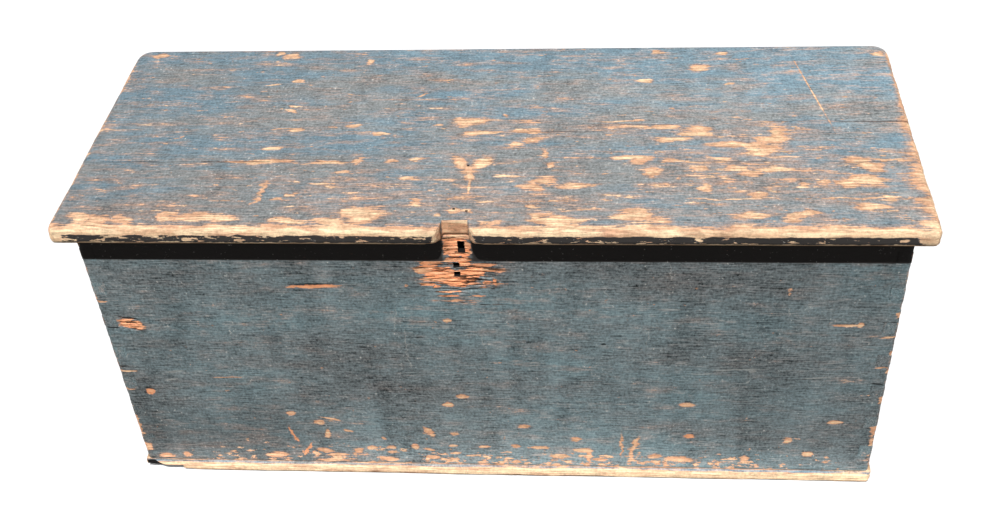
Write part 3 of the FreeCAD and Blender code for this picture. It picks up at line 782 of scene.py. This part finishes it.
# Places rubbed bare on the front, in millimetres: along it, up from the foot of the case,
# half length, half width, and any turn. Those round the lock and on the back follow suit.
FRONT_RUBS = [
    (-484, 270, 13, 8, -12), (-474, 265, 9, 6, -10), (-510, 215, 8, 3, -5), (-484, 142, 6, 5, -15),
    (-227, 337, 31, 3.2, 1), (-67, 122, 8, 4), (-66, 124, 6, 4), (-47, 141, 7, 4), (-56, 280, 5, 3),
    (455, 278, 19, 1.6), (472, 279, 5, 4), (262, 129, 10, 4), (266, 67, 7, 4), (462, 100, 9, 3),
    (431, 34, 6, 5), (402, 62, 6, 5), (-293, 56, 3, 18, 15), (-276, 28, 2.4, 16, -30),
    (-252, 84, 8, 4), (-236, 92, 14, 1.4, -15), (-243, 62, 4, 10), (-97, 66, 4, 12, 30),
    (-62, 64, 6, 4), (38, 82, 10, 4), (-290, 101, 6, 4), (109, 57, 7, 4), (173, 48, 1.8, 23),
    (190, 40, 3, 22, -15), (194, 52, 5, 5), (127, 24, 4, 14), (120, 34, 12, 4), (221, 25, 10, 5),
    (256, 20, 22, 6), (345, 24, 7, 6), (-370, 171, 18, 1, 2), (-516, 34, 8, 20), (-490, 10, 12, 6),
    (-458, 11, 7, 6), (-324, 15, 16, 6), (-240, 5, 25, 3), (-253, 26, 10, 4, -8), (-235, 17, 13, 3),
    (-203, 27, 5, 5), (-182, 33, 7, 4), (-154, 34, 8, 3), (-154, 24, 8, 4), (-160, 10, 13, 5),
    (-121, 37, 6, 5), (-100, 31, 6, 2.4, -10), (-97, 15, 11, 4), (-65, 39, 6, 1.8),
    (-63, 24, 6, 2.2), (-40, 20, 10, 1.8), (-23, 39, 9, 2.4), (-25, 6, 7, 2.2), (24, 41, 6, 3.4),
    (12, 15, 6, 2), (24, 8, 6, 4), (-164, 53, 4, 2.5, -20), (-213, 68, 7, 2.4, -12),
    (58, 39, 11, 3), (86, 21, 13, 4), (143, 16, 11, 3), (122, 37, 7, 3), (509, 204, 10, 1.4, 6),
    (509, 154, 10, 1.4, 6), (510, 258, 9, 1.4, 5), (511, 94, 8, 2.2, 4), (517, 295, 3, 5),
    (517, 229, 3, 6), (518, 197, 3, 5), (517, 142, 3, 8), (515, 85, 4, 16), (515, 50, 4, 22),
    (-512, 308, 8, 1.5), (-511, 213, 9, 1.8), (-507, 181, 12, 1.2, 3), (-510, 163, 10, 1.5),
    (-514, 146, 8, 1.4), (-518, 80, 4, 26),
]
# Shrinkage cracks at the dovetails, and the dark edges of scars, which are painted shade along the
# lips of gouges and splits.
DOVETAIL_CRACKS_AND_SCAR_SHADE = [
    (510, 219, 9, 1.5, -2), (508, 174, 9, 1.5, -3), (508, 283, 10, 1.3, -2), (146, 241, 4, 2),
    (-508, 262, 8, 1.3), (-512, 190, 6, 1.3), (262, 135, 7, 1.2), (-95, 250, 5, 1.2),
    (-227, 341, 31, 1.3, 1), (-482, 280, 16, 1.2, -10), (-474, 259, 12, 1.1, -8),
    (-484, 270, 12, 0.9, -12), (-510, 219, 8, 1.1, -5), (-484, 148, 6, 1.2, -15),
]
# Places where the wood shows fresh and reddish.
FRESH_MARKS = [
    (-484, 270, 22, 15, -12), (-510, 215, 14, 6, -5), (-484, 142, 9, 8, -15), (-227, 337, 34, 5, 1),
    (-293, 56, 8, 22, 15), (-276, 28, 8, 20, -30), (266, 67, 10, 6),
]
# Scratches that only lightened the paint.
PALE_SCRATCHES = [
    (-124, 282, 0.8, 22, -12), (-114, 242, 0.8, 24, -2), (-113, 205, 0.8, 18, 8),
    (230, 363, 0.9, 13, 6), (-357, 173, 20, 1, 2), (150, 330, 0.7, 9, 20), (-10, 240, 0.7, 14, 15),
    (-270, 240, 9, 0.9), (60, 205, 12, 0.8), (205, 250, 0.7, 16, -8), (276, 188, 14, 1),
    (326, 197, 34, 1.2, 3), (426, 183, 18, 1.3, 8), (230, 302, 14, 1), (251, 208, 8, 1),
    (297, 284, 4, 1.6), (338, 174, 2, 2.5), (342, 195, 5, 3), (380, 300, 1, 6), (-190, 330, 3, 3),
    (-440, 181, 12, 2, 5), (-448, 165, 10, 1.5, 10), (-60, 268, 5, 3),
]
SPLINTER_CUTS = 4
# Grain torn out of the front: along, up, half length, half width, depth.
TORN_PLACES = [(-36, 352, 50, 32, 2.6), (-34, 400, 18, 26, 2.0), (-482, 268, 19, 12, 2.4)]
# Splits in the front: along, up, half length, half width, depth, turn.
GROOVES = [
    (-227, 337, 30, 1.6, 2.2, 1), (-484, 268, 15, 1.2, 3.5, -12), (-478, 261, 11, 1.0, 3.0, -8),
    (-58, 366, 16, 0.9, 4, 3), (-66, 352, 12, 0.8, 4, -2), (-20, 369, 14, 0.8, 4, -3),
    (-8, 357, 18, 0.9, 4, 4), (-30, 340, 22, 0.9, 4, -3), (-50, 331, 12, 0.8, 4, 0),
    (-12, 334, 14, 0.8, 4, 2), (-36, 322, 24, 0.7, 3, 0), (-30, 388, 10, 0.8, 4, 5),
    (-42, 404, 8, 0.8, 4, -4), (-26, 396, 8, 0.7, 4, 8), (-244, 222, 8, 0.6, 2, 0),
]
BACK_RUBS = [
    (-300, 120, 12, 3), (180, 240, 9, 4), (420, 60, 10, 5), (-120, 300, 16, 2), (60, 40, 18, 4),
    (-430, 30, 14, 5), (300, 20, 22, 4), (-20, 180, 6, 4), (250, 330, 7, 3), (-200, 90, 3, 16, 15),
    (-508, 220, 8, 3), (510, 150, 7, 4),
]
LOCK_RUBS = [
    (-74, 366, 14, 8), (-59, 359, 18, 11), (-41, 350, 21, 11, -8), (-22, 355, 13, 12),
    (-6, 366, 16, 2.4), (-3, 374, 12, 2.2), (-77, 374, 6, 4), (-68, 377, 10, 4), (-30, 379, 7, 6),
    (-48, 329, 15, 1.6), (-50, 323, 14, 1.4), (-11, 323, 8, 1.3), (-76, 341, 8, 1.5),
    (-65, 338, 6, 2), (0, 345, 6, 1.5), (9, 348, 2.5, 5), (-38, 398, 12, 24), (-25, 392, 7, 22),
    (-36, 419, 17, 5),
]
# Old bruises that only darkened the paint.
BRUISES = [
    (335, 105, 5, 50, 2), (222, 116, 5, 13), (267, 154, 5, 14, -10),
]


def wedge(side, inner, low_y, high_y, z, inner_height, outer_height):
    """A bar along y at one end of the case, out past its face, of two different heights."""
    outer = CASE_HIGH.x + SPILL
    near, far = sorted((side * inner, side * outer))
    heights = sorted((inner_height, outer_height))
    bar = block("wedge", (near, low_y, z - heights[1] / 2), (far, high_y, z + heights[1] / 2))
    lower_side = inner if inner_height < outer_height else outer
    squeeze(bar, lambda co: abs(co.x * side - lower_side) < MM,
            (1, 1, heights[0] / heights[1]), (0, 0, z))
    return bar


def pin_sockets(low_y, high_y):
    """Cutters for the pins of both ends, each reaching out past the face it shows in."""
    narrow = PIN_WIDTH - 2 * (BOARD + SPILL) * DOVETAIL_SLOPE + 2 * JOINT_GAP
    wide = PIN_WIDTH + 2 * JOINT_GAP
    return [wedge(side, INNER_END, low_y - SPILL, high_y + SPILL, LOWEST_PIN + index * PIN_PITCH,
                  wide, narrow) for index in range(PIN_COUNT) for side in (1, -1)]


def hole_cutter(x, z, width, height):
    """A squared hole through the front."""
    return block("hole", (x - width / 2, CASE_LOW.y - SPILL, z - height / 2),
                 (x + width / 2, INNER_FRONT + SPILL, z + height / 2))


def planed(name, low, high, grain):
    """A board planed by hand along its grain, its arrises dulled."""
    board = block(name, low, high)
    round_edges(board, everywhere, CASE_ARRIS, 2)
    work(board, "REMESH", mode="VOXEL", voxel_size=CASE_VOXEL)
    weather(board, 0.5 * MM, 0.06, grain)
    return board


def long_board(name, low_y, high_y):
    """A long wall of the case, its ends a little splintered."""
    board = planed(name, (CASE_LOW.x, low_y, CASE_LOW.z), (CASE_HIGH.x, high_y, CASE_HIGH.z),
                   (7, 1, 1))
    weather(board, MM, 0.012, (2, 1, 1), 2.0,
            where=lambda co: fade(CASE_HIGH.x - abs(co.x), 8 * MM))
    return board


def marks(flat, places):
    """1 inside each of the places, with a soft edge, and 0 elsewhere."""
    return nearest_rub(flat, places).step(1.3, 0.7)


# Heights up from the foot of the case, the depth below the case's top of the band painted dark as
# the lid's shadow, and the lock's reach to either side of the notch.
LID_SHADOW_BAND = 42 * MM
FLAKY_HIGH = 62 * MM
SOILED_HIGH = 150 * MM
LOCK_LOW, LOCK_TORN, LOCK_HALF = 290 * MM, 335 * MM, 60 * MM
CASE_RUB_SWELLS, CASE_RUB_REACH = (60, 120, 0), (15 * MM, 6 * MM, 0)


def case_finish(name, rubs, lock=False, ends=False):
    """Paint for one wall of the case, whose inner face was left as bare pine."""
    finish = Finish(name)
    place = finish.place()
    x, y, z = finish.parts(place)
    height = z - CASE_LOW.z
    from_end = CASE_HIGH.x - abs(x)
    from_side = (y - CASE_LOW.y).least(CASE_HIGH.y - y)
    inside = (from_end.least(from_side) - 3 * MM).step(0, MM)
    arris = from_end.most(from_side)
    on_front = (y - CASE_LOW.y - 5 * MM).step(2 * MM, -2 * MM)
    flat = finish.bend(finish.vector(y if ends else x, height, 0), CASE_RUB_SWELLS,
                       CASE_RUB_REACH)
    rubbed = (1.4 - nearest_rub(flat, rubs) * 0.9).least(0.95)
    worn = 0.55 - arris / (2.5 * MM) * 0.35
    worn = worn.most(rubbed * on_front if lock else rubbed).most(inside * 2)
    run = finish.vector(y, x, z) if ends else place
    foot = (height - FLAKY_HIGH).step(0, -55 * MM)
    flaky = foot * 0.85 if ends else foot * (x - 0.30).step(0.25, 0) * (x + 0.50).step(0, 0.10)
    browned = (height - SOILED_HIGH).step(0, -150 * MM) * (x + 0.25).step(0.15, -0.15) * 0.6
    # A band below the case's top, as deep as the lid's shadow falls, painted near black: painted
    # shadow over paint the lid kept from fading; full on the front, weaker on the back and ends.
    unfaded_and_shadow = (CASE_HIGH.z - LID_SHADOW_BAND - z).step(MM, -MM) * (on_front * 0.55 + 0.45)
    rusty = (1 - inside) * 0.2
    dirt_and_shade = scratched = 0.0
    if lock:
        beside = abs(x - NOTCH_MIDDLE) - NOTCH_WIDTH / 2
        # The dark band stops below the notch, where light through the notch falls on the front:
        # painted light.
        unfaded_and_shadow = unfaded_and_shadow * beside.step(-2 * MM, 4 * MM)
        splinters = finish.swing(place, (20, 210, 210), 3)
        near_lock = (height - LOCK_LOW).step(-10 * MM, 20 * MM)
        near_lock = near_lock * (abs(x - NOTCH_MIDDLE) - LOCK_HALF).step(15 * MM, -15 * MM)
        near_lock = near_lock * (1 - unfaded_and_shadow)
        torn = (height - LOCK_TORN).step(-8 * MM, 12 * MM)
        worn = worn + (splinters * 0.18 + torn * 0.16) * near_lock
        reddened = near_lock * (CASE_HIGH.z - z - 5 * MM).step(0, 3 * MM)
        reddened = reddened * (0.9 - splinters * 0.2)
        rusty = (reddened * (1 - inside)).most(marks(flat, FRESH_MARKS) * 0.7).most(rusty)
        bruised = nearest_rub(flat, BRUISES).step(1.8, 0.2)
        # Thin dark slits among the torn splinters by the lock: painted shadow between them.
        splinter_shadows = finish.swing(place, (26, 230, 230), 3).step(0.9, 1.3)
        dirt_and_shade = (marks(flat, DOVETAIL_CRACKS_AND_SCAR_SHADE) * 0.85).most(bruised * 0.22)
        dirt_and_shade = dirt_and_shade.most(splinter_shadows * near_lock * worn.step(-0.2, 0.4) * 0.85)
        # The walls and sills of the staple hole and nail holes are painted near black: painted
        # shade in the holes.
        hole_shade = (y - CASE_LOW.y - 0.7 * MM).step(-0.4 * MM, 0.4 * MM)
        hole_shade = hole_shade * (INNER_FRONT - y - MM).step(0, MM)
        for hole_x, hole_z, width, tall in [STAPLE_HOLE] + SMALL_HOLES:
            across = (abs(x - hole_x) - width / 2).step(MM, 0.3 * MM)
            along = (abs(z - hole_z) - tall / 2).step(MM, 0.3 * MM)
            dirt_and_shade = dirt_and_shade.most(hole_shade * across * along)
        scratched = marks(flat, PALE_SCRATCHES) * 0.3
    # Paint lightness by place: lighter along the foot and low in the middle, painted light of the
    # floor's bounce; darker low at the left, toward the right end and near the top.
    low = (height - SOILED_HIGH).step(0, -110 * MM)
    light = foot * 0.05 + low * abs(x - 0.05).step(0.35, 0.10) * 0.16
    light = light - low * (x + 0.22).step(0.05, -0.15) * 0.32 + 1.06
    light = light - x.step(0.15, 0.40) * 0.09 - (height - 300 * MM).step(0, 90 * MM) * 0.06
    return old_paint(finish, CASE_COAT, run, worn, light, 0.1, browned, unfaded_and_shadow, flaky,
                     inside * 0.8, rusty, dirt_and_shade, scratched)


def back_hinge_ways(x):
    """Ways let into the top of the back for one hinge: its knuckles, then its strap."""
    knuckles = block("knuckle_way", (x - HINGE_WAY, HINGE_AXIS.y - HINGE_REACH,
                                     HINGE_AXIS.z - HINGE_REACH),
                     (x + HINGE_WAY, CASE_HIGH.y + SPILL, CASE_HIGH.z + SPILL))
    strap = block("strap_way", (x - STRAP_WAY, INNER_BACK - SPILL, CASE_HIGH.z - STRAP_SINK),
                  (x + STRAP_WAY, HINGE_AXIS.y, CASE_HIGH.z + SPILL))
    return knuckles, strap


back = long_board("back", INNER_BACK, CASE_HIGH.y)
work(back, "DECIMATE", ratio=0.5)
carve(back, pin_sockets(INNER_BACK, CASE_HIGH.y))
for x in HINGE_MIDDLES:
    for way in back_hinge_ways(x):
        carve(back, [way])
settle(back, "case", "back_board", case_finish("back_paint", BACK_RUBS))


def groove_cutter(x, height, length, width, depth, turn):
    """A split along the grain: its upper side cut square, its lower side slanting out."""
    z = CASE_LOW.z + height * MM
    half, rise, face = length * MM, width * MM, CASE_LOW.y
    cutter = block("groove", (x * MM - half, face - SPILL, z - rise),
                   (x * MM + half, face + depth * MM, z + rise))
    squeeze(cutter, lambda co: co.y > face, (0.8, 1, 0.1), (x * MM, face, z + rise))
    edit(cutter, everywhere, bpy.ops.transform.rotate, value=math.radians(turn),
         orient_axis="Y", center_override=(x * MM, face, z))
    return cutter


def splinter(board, x, height, half_length, half_width, depth):
    """Tear the grain out of an oval place on the front face."""
    middle = Vector((x * MM, CASE_LOW.y, CASE_LOW.z + height * MM))
    length, width = half_length * MM, half_width * MM

    def near(co, spread=1.0):
        away = co - middle
        return 1 - math.hypot(away.x / length, away.z / width) / spread if away.y < 4 * MM else 0

    edit(board, lambda co: near(co, 1.25) > 0, bpy.ops.mesh.subdivide,
         number_cuts=SPLINTER_CUTS)
    weather(board, depth * MM, 0.0035, (9, 1, 1), 2.5, where=lambda co: near(co) * 3)


front = long_board("front", CASE_LOW.y, INNER_FRONT)
work(front, "DECIMATE", ratio=0.5)
for torn_place in TORN_PLACES:
    splinter(front, *torn_place)
carve(front, [groove_cutter(*groove) for groove in GROOVES])
carve(front, pin_sockets(CASE_LOW.y, INNER_FRONT)
      + [hole_cutter(*hole) for hole in [STAPLE_HOLE] + SMALL_HOLES])
settle(front, "case", "front_board",
       case_finish("front_paint", FRONT_RUBS + LOCK_RUBS, lock=True))

# ---- end boards
# The two ends, their grain running from front to back, with the dovetail pins left standing
# at both upright edges, where the tails of the long boards lock over them.


def tail_cutters(low_y, high_y, side):
    """Cutters for the spaces between the pins, where the tails lie."""
    edges = [CASE_LOW.z - SPILL]
    for index in range(PIN_COUNT):
        z = LOWEST_PIN + index * PIN_PITCH
        edges += [z - PIN_WIDTH / 2, z + PIN_WIDTH / 2]
    edges.append(CASE_HIGH.z + SPILL)
    flare = 2 * (BOARD + SPILL) * DOVETAIL_SLOPE
    return [wedge(side, INNER_END - SPILL, low_y, high_y, (low + high) / 2,
                  high - low - 2 * SPILL * DOVETAIL_SLOPE, high - low + flare)
            for low, high in zip(edges[::2], edges[1::2])]


def end_board(name, side):
    """An end of the case, its pins left standing where the tails are cut away."""
    left, right = sorted((side * INNER_END, side * CASE_HIGH.x))
    board = planed(name, (left, CASE_LOW.y, CASE_LOW.z), (right, CASE_HIGH.y, CASE_HIGH.z),
                   (1, 7, 1))
    work(board, "DECIMATE", ratio=0.5)
    carve(board, tail_cutters(CASE_LOW.y - SPILL, INNER_FRONT, side)
          + tail_cutters(INNER_BACK, CASE_HIGH.y + SPILL, side))
    return board


# Places rubbed bare on the ends: from front to back, up, half length, half width, any turn.
LEFT_END_RUBS = [
    (-60, 210, 9, 3), (40, 290, 6, 4), (120, 120, 14, 2), (-120, 60, 8, 5), (60, 40, 12, 4),
    (150, 30, 16, 5), (-30, 20, 20, 5), (10, 360, 5, 3), (-150, 320, 7, 2), (0, 150, 2, 18, 12),
    (-188, 140, 7, 5), (200, 250, 6, 6),
]
RIGHT_END_RUBS = [
    (-90, 180, 10, 3), (20, 250, 5, 4), (90, 330, 12, 2), (-40, 50, 9, 5), (110, 70, 7, 4),
    (-140, 24, 18, 5), (40, 16, 22, 5), (160, 200, 4, 3), (-120, 290, 2, 14, -15), (170, 28, 14, 5),
    (-190, 230, 6, 5), (202, 110, 6, 7),
]
for name, side, rubs in (("left_end", -1, LEFT_END_RUBS), ("right_end", 1, RIGHT_END_RUBS)):
    board = end_board(name, side)
    settle(board, "case", name + "_board",
           case_finish(name + "_paint", rubs, ends=True))

# ---- bottom planks
# Two thinner planks nailed up under the case. The front one stands a little proud; its
# face is rubbed bare, and its left corner has broken away.
BOTTOM_VOXEL = 2.4 * MM
# How the left corner broke: length, height at the end, height at the tip, depth.
BREAKS = [(34, 25, 9, 6), (56, 11, 10, 6), (74, 11, 3, 6), (86, 9, 1, 60)]
BROKEN_LENGTH = 86 * MM
BROKEN_DEPTH = 66 * MM
PAINT_LINE = 2.2 * MM
FOOT_DARK_LINE = 3.2 * MM
PLANK_LIGHT = 1.25
NOSE_ROUND = 7 * MM
CORNER_ROUND = 9 * MM


def plank(name, node):
    """A plank of the bottom, its lower arris rounded by dragging."""
    low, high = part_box(node)
    board = block(name, low, high)
    if low.y < CASE_LOW.y:
        right = high.x - MM
        round_edges(board, lambda co: co.x > right and co.y < low.y + MM, CORNER_ROUND)
        round_edges(board, lambda co: co.z > high.z - MM and co.y < low.y + MM, NOSE_ROUND)
    else:
        round_edges(board, everywhere, SMALL_ROUND, 2)
    work(board, "REMESH", mode="VOXEL", voxel_size=BOTTOM_VOXEL)
    weather(board, 0.4 * MM, 0.05, (7, 1, 1))
    weather(board, 2.2 * MM, 0.03, (4, 1, 1), 1.6, where=lambda co: fade(co.y - low.y, 8 * MM))
    return board


def break_corner(board, low):
    """Break away the left corner of the front plank, in steps that follow the grain."""
    for length, height, tip_height, depth in BREAKS:
        foot = low.z - height * MM
        corner = block("broken", (low.x - SPILL, low.y - SPILL, foot),
                       (low.x + length * MM, low.y + depth * MM, low.z + height * MM))
        taper = (tip_height + height) / (2 * height)
        squeeze(corner, lambda co: co.x > low.x, (1, 1, taper), (0, 0, foot))
        carve(board, [corner])


def plank_finish():
    """Bare old pine, with a line of the case's paint on its upper arris, a dark line at its foot,
    and painted shadow in its broken corner.
    """
    finish = Finish("bottom_pine")
    place = finish.place()
    x, y, z = finish.parts(place)
    low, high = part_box("bottom_front_plank")
    painted = (z - high.z + PAINT_LINE).step(-0.8 * MM, 0.8 * MM)
    painted = painted * (CASE_LOW.y - y).step(-3 * MM, 0)
    hidden = (y - CASE_LOW.y - 4 * MM).step(0, 3 * MM)
    ragged = finish.swing(place, (20, 60, 60), 3) * (0.5 * MM)
    # A dark line along the plank's foot: dirt, and painted contact shadow where it meets the floor.
    foot_dirt_and_shadow = (z - low.z + ragged).step(FOOT_DARK_LINE, FOOT_DARK_LINE / 2)
    # The walls of the broken corner are painted near black: painted shadow in the break.
    broken = (x - low.x - BROKEN_LENGTH).step(2 * MM, -2 * MM)
    broken = broken * (x - low.x - 1.2 * MM).step(-0.5 * MM, 0.5 * MM)
    broken = broken * (y - low.y - 5.2 * MM).step(-0.5 * MM, 0.5 * MM)
    broken = broken * (y - low.y - BROKEN_DEPTH).step(2 * MM, -2 * MM)
    broken = broken * (z - high.z + 0.8 * MM).step(0.5 * MM, -0.5 * MM)
    return old_paint(finish, LID_COAT, place, 1.2 - painted, PLANK_LIGHT, aged=hidden * 0.8,
                     dirt_and_shade=(foot_dirt_and_shadow * 0.85).most(broken))


bottom_paint = plank_finish()
for name, node in (("bottom_front", "bottom_front_plank"), ("bottom_back", "bottom_back_plank")):
    board = plank(name, node)
    if node == "bottom_front_plank":
        break_corner(board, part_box(node)[0])
    work(board, "DECIMATE", ratio=0.5)
    settle(board, "case", node, bottom_paint)
